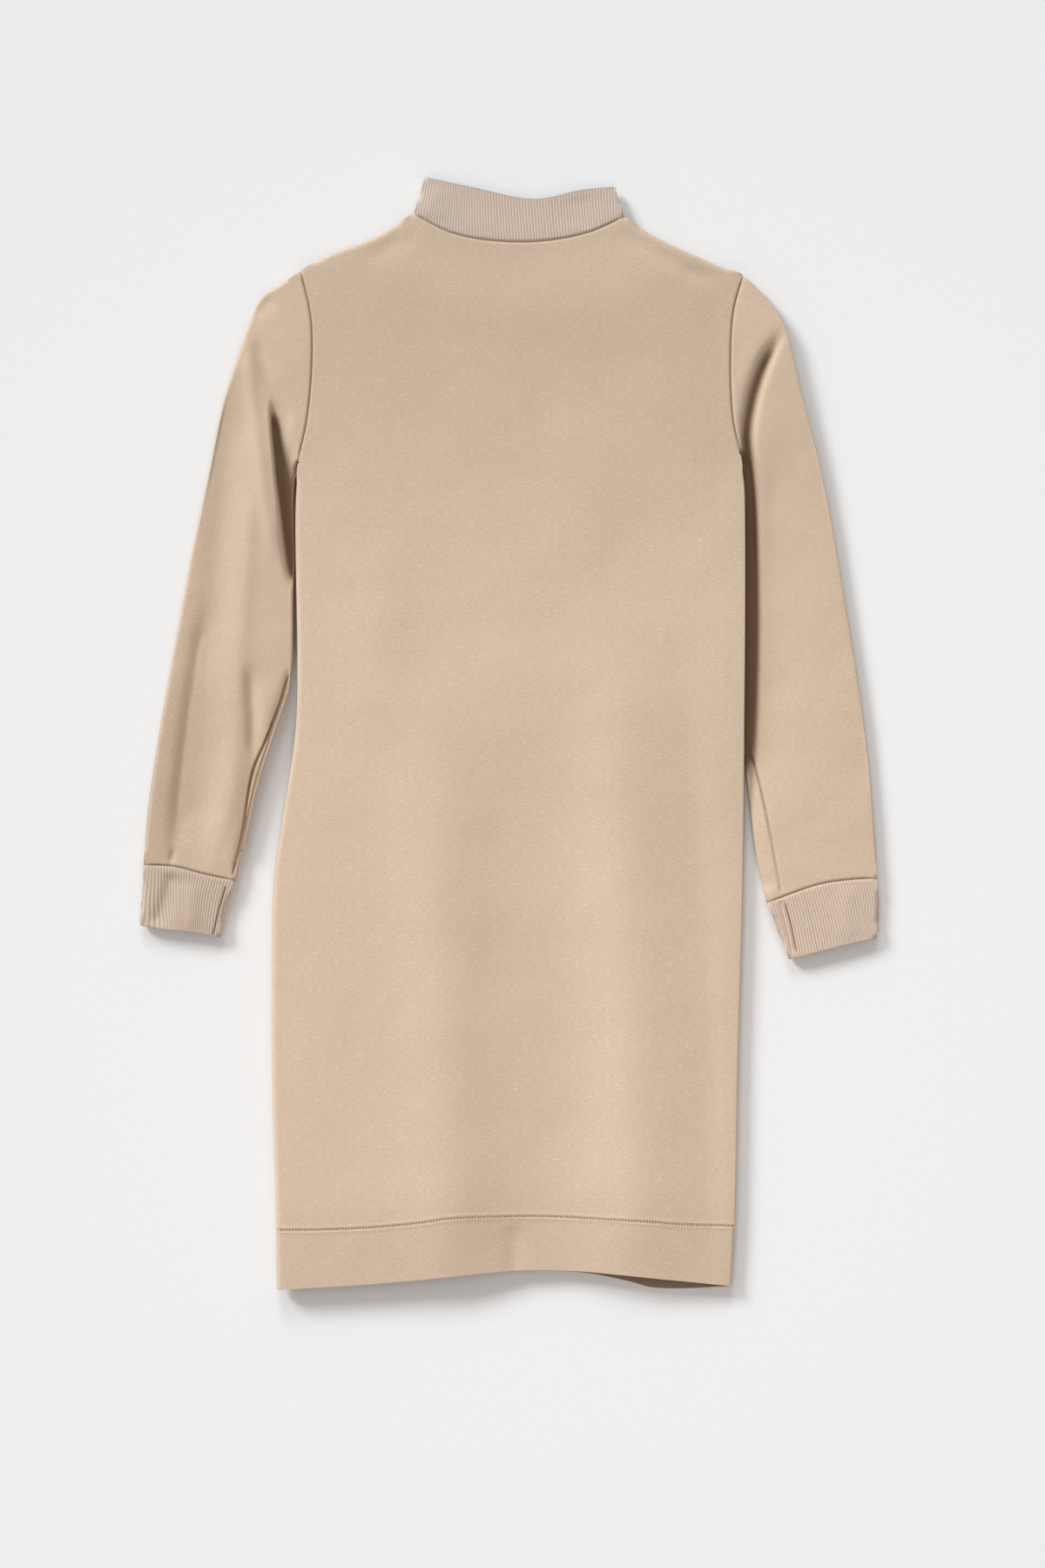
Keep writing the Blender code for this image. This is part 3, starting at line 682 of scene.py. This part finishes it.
LEFT_SLEEVE_CREASES = [
    # The pit of the fold beside the armhole, with a steep outer wall, and the valley above it.
    Crease(
        [(-188.5, 122), (-193, 155), (-198.5, 189), (-203, 217), (-205.5, 240), (-208.5, 271), (-210, 296)],
        -12,
        [5, 5, 2.2, 1.8, 1.8],
        [26, 26, 22, 11, 5],
        0.16,
    ),
    Crease(
        [(-194, 264), (-195.5, 279), (-202, 294), (-209.5, 307), (-217, 327), (-226, 350)],
        -2.6,
        [3, 9],
        5,
        0.2,
    ),
    Crease([(-205, 148), (-213, 190), (-220, 240), (-226, 290), (-231, 352)], 2.4, 6, 7, 0.15),
    # Long soft folds down to the cuff.
    Crease([(-266, -125), (-248, -60), (-241, 32), (-233, 148), (-224, 240)], 2.2, 15, 9, 0.15),
    Crease(
        [(-286, -128), (-279, -60), (-267, 32), (-255, 148), (-244, 263), (-239, 330)], -5.2, 18, 22, 0.15
    ),
    Crease([(-298, -128), (-291, -60), (-280, 32), (-266, 120)], -2.8, 7, 9, 0.2),
    Crease([(-226, -32), (-227, 20), (-230, 66)], -4.0, 5, 8, 0.3),
    # The cloth rolls down to the seam under the arm.
    Crease(
        [(-244, -124), (-236, -90), (-226.5, -34), (-212.5, 0), (-201, 30), (-193, 60)],
        -1.5,
        [3, 6, 6, 3],
        1.3,
        0.05,
    ),
    Crease([(-299, -122), (-298, -112), (-296, -100)], -1.8, 2.5, 3, 0.3),
    Crease([(-228, 366), (-217, 375), (-205, 383)], -1.5, 7, 7),
]
RIGHT_SLEEVE_CREASES = [
    # The trough where the sleeve slips under the body, which runs on as a wedge above the underarm.
    Crease(
        [
            (209, -48),
            (212, 10),
            (213.5, 60),
            (213.5, 180),
            (210.5, 235),
            (209.5, 262),
            (212.5, 284),
            (218, 306),
            (225, 325),
            (233.5, 341),
            (245, 359),
        ],
        -7.5,
        [14, 14, 14, 12, 5, 7, 6],
        [4, 5, 5.5, 5, 5, 5, 4],
        0.1,
    ),
    Crease([(206, -80), (206, 10), (207, 60), (207, 180), (208, 280)], -3.0, 20, 38, 0.2),
]
# The seam under the arm has turned up on to the back, a little in from the closed side.
LEFT_STRIP = [(-244, -124), (-236, -90), (-226.5, -34), (-212.5, 0), (-201, 30), (-193, 60)]
RIGHT_STRIP = [(239, -138), (231, -94), (219.5, -41), (208, -4)]
SLEEVE_STEP, UNDER_STEP = 2.3, 5.0
SLEEVE_GROWTH = 1.05  # the columns stay close together round the folds beside the closed sides
ACROSS_SLEEVE, ALONG_SLEEVE = 105.0, 560.0  # about the lying width and length, for spacing the points
SLEEVE_ROW_STEP = 2.6
LEAST_HEIGHT = 4.4  # two layers and a little air, below which no fold sinks
TIGHT_RUN = 4.5  # the under layer comes down in this distance beside the body
# Painted shade's strengths: in seams, over the left sleeve and low on it, and on its turned-up seam strip.
SEAM_SHADE, LEFT_SHADE, LEFT_LOW_SHADE, STRIP_SHADE = 0.6, 0.06, 0.14, 0.22
JERSEY_SLEEVE = (0.655, 0.503, 0.370, 1.0)
UNDER_CREASES = {
    "left": [
        Crease([(-290, -80), (-276, 20), (-262, 120)], 1.2, 12, 16),
        Crease([(-240, 120), (-225, 220), (-212, 300)], 1.0, 12, 14),
    ],
    "right": [
        Crease([(286, -100), (280, 0), (262, 90)], 1.1, 14, 12),
        Crease([(246, 100), (240, 200), (226, 290)], 1.2, 13, 13),
    ],
}


def side_lines(cuts):
    """The outer and inner closed sides of a tube."""
    outer = smooth_line([At(cut.outer_x, cut.outer_y, cut.outer_z) for cut in cuts])
    inner = smooth_line([At(cut.inner_x, cut.inner_y, cut.inner_z) for cut in cuts])
    return outer, inner


def tube_layer(cuts, start, end, across, down):
    """Plan of one layer of a flattened tube, from its start seam to its end seam."""
    outer, inner = side_lines(cuts)
    first = along(smooth_line(start)[:, :2], across)
    last = along(smooth_line(end)[:, :2], across)
    outer_points, inner_points = along(outer[:, :2], down), along(inner[:, :2], down)
    outer_points[0], outer_points[-1] = first[0], last[0]
    inner_points[0], inner_points[-1] = first[-1], last[-1]
    return patch(first, last, outer_points, inner_points, across, down)


def fanned(plan, inner_points, spread=0.4, reach=100.0):
    """Fans the grid out round the underarm, where its rows run nearly parallel to the closed side."""
    steps = np.linalg.norm(np.diff(plan, axis=1), axis=-1)
    from_outer = np.concatenate([np.zeros((len(plan), 1)), np.cumsum(steps, axis=1)], axis=1)
    up_row = from_outer[:, -1:] - from_outer
    down_side = lengths_along(inner_points)[:, None]
    far = np.maximum(np.hypot(up_row, down_side), 0.01)
    shift = 2 * spread * up_row * down_side / far * np.exp(-((far / reach) ** 2)) * ease(from_outer / 40)
    plan[..., 0] += np.sign(plan[-1, 0, 0] - plan[-1, -1, 0]) * shift
    return plan


def cut_of_tube(places):
    """Each point's place on the flat cloth: round the tube, and along it."""
    steps = np.linalg.norm(np.diff(places, axis=1), axis=-1)
    around = np.concatenate([np.zeros((len(places), 1)), np.cumsum(steps, axis=1)], axis=1)
    around -= around[:, [places.shape[1] // 3]]
    steps = np.linalg.norm(np.diff(places, axis=0), axis=-1).mean(axis=1)
    down = np.concatenate([[0.0], np.cumsum(steps)])
    return np.dstack([around, np.broadcast_to(-down[:, None], around.shape)])


def turned_in(places):
    """Whether the tube's faces point inwards: its upper layer comes first and should face up."""
    return normals_of(places)[:, : places.shape[1] // 3, 2].mean() < 0


def beside_body(plan, lie, inner):
    """Painted shade on the sleeve's inner edge where it lies against the body."""
    from_inner = nearest_on(inner.line, plan)[0]
    return ease(1 - from_inner / 5) * ease((plan[..., 1] - 55) / 30) * (lie.gap < 6)


# Rolls are of the outer and the inner side. A pit's painted shade starts at the first depth, and is full
# when the pit is deeper by the second.
for side, cuts, armhole, cuff_seam, creases, strip, rolls, pit_depths, strip_strength in (
    (
        "left", SLEEVE_LEFT, ARMHOLE_LEFT, CUFF_SEAM_LEFT, LEFT_SLEEVE_CREASES, LEFT_STRIP,
        (4.0, 3.0), (2.5, 8.5), 1.0,
    ),
    (
        "right", SLEEVE_RIGHT, ARMHOLE_RIGHT, CUFF_SEAM_RIGHT, RIGHT_SLEEVE_CREASES, RIGHT_STRIP,
        (1.4, 20.0), (1.0, 7.0), 0.5,
    ),
):
    sides = [Side(line, roll) for line, roll in zip(side_lines(cuts), rolls)]
    seams = [smooth_line(armhole), smooth_line(cuff_seam)]
    down = spaced(ALONG_SLEEVE, SLEEVE_ROW_STEP)
    layers, painted_shades = [], []
    for back in (True, False):
        growth, step = (SLEEVE_GROWTH, SLEEVE_STEP) if back else (STEP_GROWTH, UNDER_STEP)
        across = spaced(ACROSS_SLEEVE, step, growth=growth)
        plan = tube_layer(cuts, armhole[::-1], cuff_seam, across, down)
        plan = fanned(plan, plan[:, -1])
        lie = lie_of(plan, sides, seams)
        lie.gap[:, [0, -1]] = 0
        # Painted shade down in the seams.
        painted_shade = SEAM_SHADE * np.exp(-((lie.seam / 0.7) ** 2))
        if back:
            loft = ARMHOLE_LOFT + (CUFF_LOFT - ARMHOLE_LOFT) * ease(down * 1.6)[:, None]
            height = laid_over(lie, loft)
            folds = crease_height(plan, creases)
            relief = folds + slack(plan, 60, 0.8, 7.7 if side == "left" else 5.2)
            height += relief * ease(lie.gap / 4) * (0.25 + 0.75 * ease(lie.seam / 8))
            height = np.maximum(height, np.minimum(LEAST_HEIGHT, lie.edge))
            # Painted shade in the pits and beside the body, and over the left sleeve, heavier on its outer
            # part low down.
            pit = -crease_height(plan, creases[:2])
            painted_shade += ease((pit - pit_depths[0]) / pit_depths[1]) + beside_body(plan, lie, sides[1])
            outer_part = ease((nearest_on(sides[1].line, plan)[0] - 25) / 25)
            low = LEFT_LOW_SHADE * outer_part * ease((100 - plan[..., 1]) / 120)
            painted_shade += (side == "left") * (LEFT_SHADE + low)
        else:
            # By the armhole the under layer turns down sharply, to leave room for the folds above it.
            from_inner = nearest_on(sides[1].line, plan)[0]
            run = TIGHT_RUN + (LAYER_RUN - TIGHT_RUN) * ease((from_inner - 14) / 20)
            height = laid_under(lie, run)
            height += crease_height(plan, UNDER_CREASES[side]) * ease(lie.gap / 20)
            # Painted shade on the under layer near its inner side, above the cuff.
            painted_shade += ease((plan[..., 1] + 140) / 60) * ease(1 - from_inner / 12)
        layer = np.dstack([plan, height])
        outward = normals_of(layer)
        outward *= np.sign(outward[..., 2:].sum()) * (1 if back else -1)
        layer = sewn(plan, layer, lie, seams, outward)
        if back:
            strip_gap, share, strip_side = nearest_on(smooth_line(strip), plan)
            groove = seam_dip(strip_gap, 1.2, 1.0) * ease(lie.seam / 8) * ease((0.99 - share) / 0.08)
            layer += outward * groove[..., None]
            # Painted shade in the strip's groove, and over the left sleeve's strip.
            painted_shade -= groove * (0.5 + 0.6 * ease((share - 0.2) / 0.4)) * strip_strength
            painted_shade += STRIP_SHADE * (side == "left") * (strip_side < 0) * ease((50 - plan[..., 1]) / 20)
        layers.append(layer)
        painted_shades.append(np.clip(painted_shade, 0, 1))
    places = np.hstack([layers[0], layers[1][:, -2::-1]])
    places[:, -1] = places[:, 0]
    painted_shade = np.hstack([painted_shades[0], painted_shades[1][:, -2::-1]])
    sleeve_cloth = jersey_cloth(f"heather jersey, {side} sleeve", JERSEY_SLEEVE)
    sleeve = cloth_shell(
        f"{side}_sleeve_cloth",
        places,
        cut_of_tube(places),
        CLOTH,
        sleeve_cloth,
        tube=True,
        face_down=turned_in(places),
        extra={"painted_shade": painted_shade},
    )
    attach(sleeve, "root")
    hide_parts(f"{side}_sleeve")

# ==== Cuffs =======================================================================================
# A rib band at each wrist, folded double and sewn to the sleeve. The left one is twisted, so that a
# soft fold crosses it.

RIB = 2.0  # two layers of rib
RIB_PITCH = 2.6
RIB_RISE = 0.42
RIB_SHARE_OVER = 0.4  # of the rise that stands over the band's own surface
RIB_VALLEY, RIB_TOP = 0.58, 1.06  # painted shade in a valley, painted highlight on a rib
CUFF_LEFT = [
    Cut(-323.0, -116.0, 4.6, -241.5, -130.0, 8.0),
    Cut(-324.5, -143.0, 4.6, -250.0, -154.0, 6.6),
    Cut(-326.0, -169.5, 4.6, -255.0, -180.0, 5.4),
]
CUFF_RIGHT = [
    Cut(324.5, -128.0, 4.6, 227.0, -149.5, 4.6),
    Cut(326.0, -154.0, 4.6, 236.0, -172.0, 4.6),
    Cut(323.5, -181.0, 4.6, 246.5, -199.5, 4.6),
]
CUFF_END_LEFT = [At(-326.0, -169.5), At(-305.0, -173.0), At(-281.0, -175.2), At(-255.0, -180.0)]
CUFF_END_RIGHT = [At(323.5, -181.0), At(306.5, -184.0), At(279.0, -191.0), At(246.5, -199.5)]
LEFT_CUFF_CREASES = [
    Crease([(-313, -170), (-303, -146), (-297, -122)], -2.4, 6, 10, 0.15),
    Crease([(-281, -176), (-280, -150), (-281, -130)], 1.2, 5, 9, 0.3),
]
RIGHT_CUFF_CREASES = [
    Crease([(250, -196), (244, -170), (238, -146)], -0.9, 2, 3, 0.1),
    Crease([(300, -184), (297, -160), (298, -132)], 0.8, 9, 9, 0.2),
]
CUFF_OWN_SEAMS = {
    "left": [(-250.3, -135.7), (-256, -156), (-261, -177)],
    "right": [(243.3, -151), (248.5, -170), (252.5, -191)],
}
# The two cuffs are one rib knit: the left one's colour is darker than the right's as painted shade.
RIB_COLOURS = {"left": (0.610, 0.480, 0.375, 1.0), "right": (0.680, 0.536, 0.422, 1.0)}
RIB_STEP, RIB_ROW_STEP = 0.43, 2.2


def rib_height(cut, pitch=RIB_PITCH):
    """Round ribs with narrow valleys, along the tube."""
    phase = np.abs(np.sin(np.pi * cut[..., 0] / pitch))
    return RIB_RISE * (phase**0.7 - (1 - RIB_SHARE_OVER))


def rib_cloth(name, yarn, heather=0.25):
    """The jersey's yarn as rib, with painted shade in the valleys and painted highlight on the ribs."""
    material = jersey_cloth(name, yarn, heather)
    tree = material.node_tree
    knit = next(n for n in tree.nodes if n.bl_idname == "ShaderNodeGroup")
    rise = node(tree, "ShaderNodeAttribute", attribute_name="rib")
    painted_rib_range = {"Value": rise.outputs["Fac"], 3: RIB_VALLEY, 4: RIB_TOP}
    painted_rib_light = node(tree, "ShaderNodeMapRange", painted_rib_range)
    colour = node(tree, "ShaderNodeVectorMath", {"Scale": painted_rib_light.outputs["Result"]}, operation="SCALE")
    shaded = knit.outputs["Colour"].links[0].to_node
    tree.links.new(knit.outputs["Colour"], colour.inputs[0])
    tree.links.new(colour.outputs[0], shaded.inputs[0])
    return material


def rib_tube(name, cuts, starts, ends, lofts, creases, material, slant, own_seam=None):
    """A rib band: starts and ends are the seam and the free edge of its back and front layers."""
    sides = [Side(line, SEAM_ROLL) for line in side_lines(cuts)]
    length = lengths_along(sides[0].line)[-1]
    width = lengths_along(smooth_line(starts[0])[:, :2])[-1]
    down = spaced(length, RIB_ROW_STEP)
    layers, painted_shades = [], []
    for start, end, back in zip(starts, ends, (True, False)):
        columns = np.linspace(0, 1, round(width / RIB_STEP) + 1)
        plan = tube_layer(cuts, start, end, columns, down)
        seam_line, end_line = smooth_line(start), smooth_line(end)
        lie = lie_of(plan, sides, [seam_line, end_line])
        lie.gap[:, [0, -1]] = 0
        if back:
            loft = lofts[0] + (lofts[1] - lofts[0]) * ease(down)[:, None]
            height = laid_over(lie, loft) + crease_height(plan, creases) * ease(lie.gap / 8)
        else:
            height = laid_under(lie)
        layer = np.dstack([plan, height])
        outward = normals_of(layer)
        outward *= np.sign(outward[..., 2:].sum()) * (1 if back else -1)
        layer = sewn(plan, layer, lie, [seam_line], outward)
        # Painted shade along the seam and the free edge, and along the band's own seam.
        painted_shade = 0.3 * np.exp(-((lie.seam / 0.8) ** 2))
        if back and own_seam is not None:
            own = nearest_on(np.array(own_seam, dtype=float), plan)[0]
            layer[..., 2] += seam_dip(own, 0.8, 0.9)
            painted_shade += 0.8 * np.exp(-((own / 0.9) ** 2))
        layers.append(layer)
        painted_shades.append(np.clip(painted_shade, 0, 1))
    places = np.hstack([layers[0], layers[1][:, -2::-1]])
    painted_shade = np.hstack([painted_shades[0], painted_shades[1][:, -2::-1]])
    places[:, -1] = places[:, 0]
    cut = cut_of_tube(places)
    cut[..., 0] += slant(places, down[:, None] * length)
    ribs = rib_height(cut)
    ribs[:, -1] = ribs[:, 0]
    outward = normals_of(places)
    outward *= -1 if turned_in(places) else 1
    fade = ease(np.minimum(down, 1 - down) * length / 2.5)[:, None]
    places = places + outward * (ribs * fade)[..., None]
    places[:, -1] = places[:, 0]
    rise = np.clip(ribs / RIB_RISE + (1 - RIB_SHARE_OVER), 0, 1)
    return cloth_shell(
        name,
        places,
        cut,
        RIB,
        material,
        tube=True,
        face_down=turned_in(places),
        extra={"rib": rise, "painted_shade": painted_shade},
    )


def left_slant(places, down):
    """The ribs lean over along the fold that crosses the left cuff."""
    return -0.26 * down * np.exp(-(((places[..., 0] + 300) / 22) ** 2))


def right_slant(places, down):
    """The right cuff's ribs waver a little at its outer side."""
    return 0.9 * np.sin(down / 7) * ease((places[..., 0] - 288) / 25)


for side, cuts, seam, end, creases, slant in (
    ("left", CUFF_LEFT, CUFF_SEAM_LEFT, CUFF_END_LEFT, LEFT_CUFF_CREASES, left_slant),
    ("right", CUFF_RIGHT, CUFF_SEAM_RIGHT, CUFF_END_RIGHT, RIGHT_CUFF_CREASES, right_slant),
):
    cuff_cloth = rib_cloth(f"rib knit, {side} cuff", RIB_COLOURS[side])
    cuff = rib_tube(
        f"{side}_cuff_cloth",
        cuts,
        (seam, seam),
        (end, end),
        (CUFF_LOFT, CUFF_LOFT),
        creases,
        cuff_cloth,
        slant,
        CUFF_OWN_SEAMS[side],
    )
    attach(cuff, "root")
    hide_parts(f"{side}_cuff")

# ==== Collar ======================================================================================
# The mock neck: one rib band folded double, with its ribs upright, sewn round the neckline. It lies
# flat, with its back layer over its front one.

COLLAR_LOFT = 11.0
COLLAR_SIDES = [
    Cut(-85.0, 457.5, 7.0, 101.5, 455.0, 7.0),
    Cut(-80.5, 471.0, 5.6, 97.0, 468.5, 5.6),
    Cut(-75.0, 490.0, 4.6, 93.5, 481.5, 4.6),
]
COLLAR_TOP_BACK = [
    At(-75.0, 490.0),
    At(-31.0, 480.5),
    At(22.0, 470.5),
    At(64.0, 478.5),
    At(93.5, 481.5),
]
COLLAR_TOP_FRONT = [
    At(-75.0, 490.0),
    At(-46.0, 449.0),
    At(9.0, 430.0),
    At(66.0, 448.0),
    At(93.5, 481.5),
]
COLLAR_COLOUR = (0.625, 0.502, 0.410, 1.0)

COLLAR_CREASES = [
    Crease([(-74, 452), (-68, 466), (-66, 482)], 1.0, 8, 12),
    Crease([(60, 444), (62, 460), (60, 474)], -0.8, 18, 14),
]


def collar_slant(places, down):
    """The band's ribs fan out towards its left end."""
    return -0.35 * down * ease((-20 - places[..., 0]) / 60)


collar_cloth = rib_cloth("rib knit, collar", COLLAR_COLOUR)
collar = rib_tube(
    "collar_cloth",
    COLLAR_SIDES,
    (NECK_BACK, NECK_FRONT),
    (COLLAR_TOP_BACK, COLLAR_TOP_FRONT),
    (NECK_LOFT, COLLAR_LOFT),
    COLLAR_CREASES,
    collar_cloth,
    collar_slant,
)
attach(collar, "root")
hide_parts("collar")

# ==== Studio ======================================================================================
# A pale floor of fine grain, two broad soft lights from the upper left and from beyond the neck, a
# weak warm lamp overhead, even light all round, and a camera that looks straight down.

FLOOR_COLOUR = (0.88, 0.885, 0.89)
floor_shape = bmesh.new()
bmesh.ops.create_grid(floor_shape, x_segments=1, y_segments=1, size=6.0)
floor_mesh = bpy.data.meshes.new("floor")
floor_shape.to_mesh(floor_mesh)
floor_shape.free()
floor = bpy.data.objects.new("floor", floor_mesh)
bpy.context.scene.collection.objects.link(floor)
paper = bpy.data.materials.new("pale floor")
paper.use_nodes = True
tree = paper.node_tree
where = node(tree, "ShaderNodeTexCoord").outputs["Object"]
grain = node(tree, "ShaderNodeTexNoise", {"Vector": where, "Scale": 420.0, "Detail": 3.0}).outputs["Fac"]
tone = node(tree, "ShaderNodeMapRange", {"Value": grain, 1: 0.3, 2: 0.7, 3: 0.985, 4: 1.015})
toned = {0: FLOOR_COLOUR, "Scale": tone.outputs["Result"]}
tinted = node(tree, "ShaderNodeVectorMath", toned, operation="SCALE")
tree.links.new(tinted.outputs[0], tree.nodes["Principled BSDF"].inputs["Base Color"])
tree.nodes["Principled BSDF"].inputs["Roughness"].default_value = 0.95
tree.nodes["Principled BSDF"].inputs["Specular IOR Level"].default_value = 0.1
floor_mesh.materials.append(paper)

world = bpy.data.worlds.new("soft light all round")
bpy.context.scene.world = world
world.use_nodes = True
world.node_tree.nodes["Background"].inputs["Color"].default_value = (0.94, 0.975, 1.0, 1)
world.node_tree.nodes["Background"].inputs["Strength"].default_value = 0.46

SOFTNESS = math.radians(18)
DAYLIGHT = (0.95, 0.98, 1.0)

# The key comes from the upper left, and a weaker light from beyond the neck. Both come in low.
for name, energy, heading, elevation in (
    ("key light", 2.45, (0.72, -0.69), math.radians(26)),
    ("top light", 0.95, (0.10, -0.995), math.radians(27)),
):
    light = bpy.data.lights.new(name, "SUN")
    light.energy = energy
    light.angle = SOFTNESS
    light.color = DAYLIGHT
    lamp = bpy.data.objects.new(name, light)
    level = math.cos(elevation)
    travel = Vector((heading[0] * level, heading[1] * level, -math.sin(elevation)))
    lamp.rotation_euler = travel.to_track_quat("-Z", "Y").to_euler()
    bpy.context.scene.collection.objects.link(lamp)

overhead_light = bpy.data.lights.new("overhead light", "AREA")
overhead_light.shape = "DISK"
overhead_light.size = 0.9
overhead_light.energy = 1.9
overhead_light.color = (1.0, 0.6, 0.35)
overhead = bpy.data.objects.new("overhead light", overhead_light)
overhead.location = (0.02, -0.25, 1.2)
bpy.context.scene.collection.objects.link(overhead)

VIEW_MIDDLE = (0.01155, -0.0448)
VIEW_HEIGHT = 3.0
VIEW_LENGTH = 1.386  # of floor, seen along the picture's long side
camera_data = bpy.data.cameras.new("camera")
camera_data.sensor_width = 36.0
camera_data.lens = 36.0 * VIEW_HEIGHT / VIEW_LENGTH
camera = bpy.data.objects.new("camera", camera_data)
camera.location = (*VIEW_MIDDLE, VIEW_HEIGHT)
bpy.context.scene.collection.objects.link(camera)
bpy.context.scene.camera = camera
bpy.context.scene.view_settings.view_transform = "Standard"
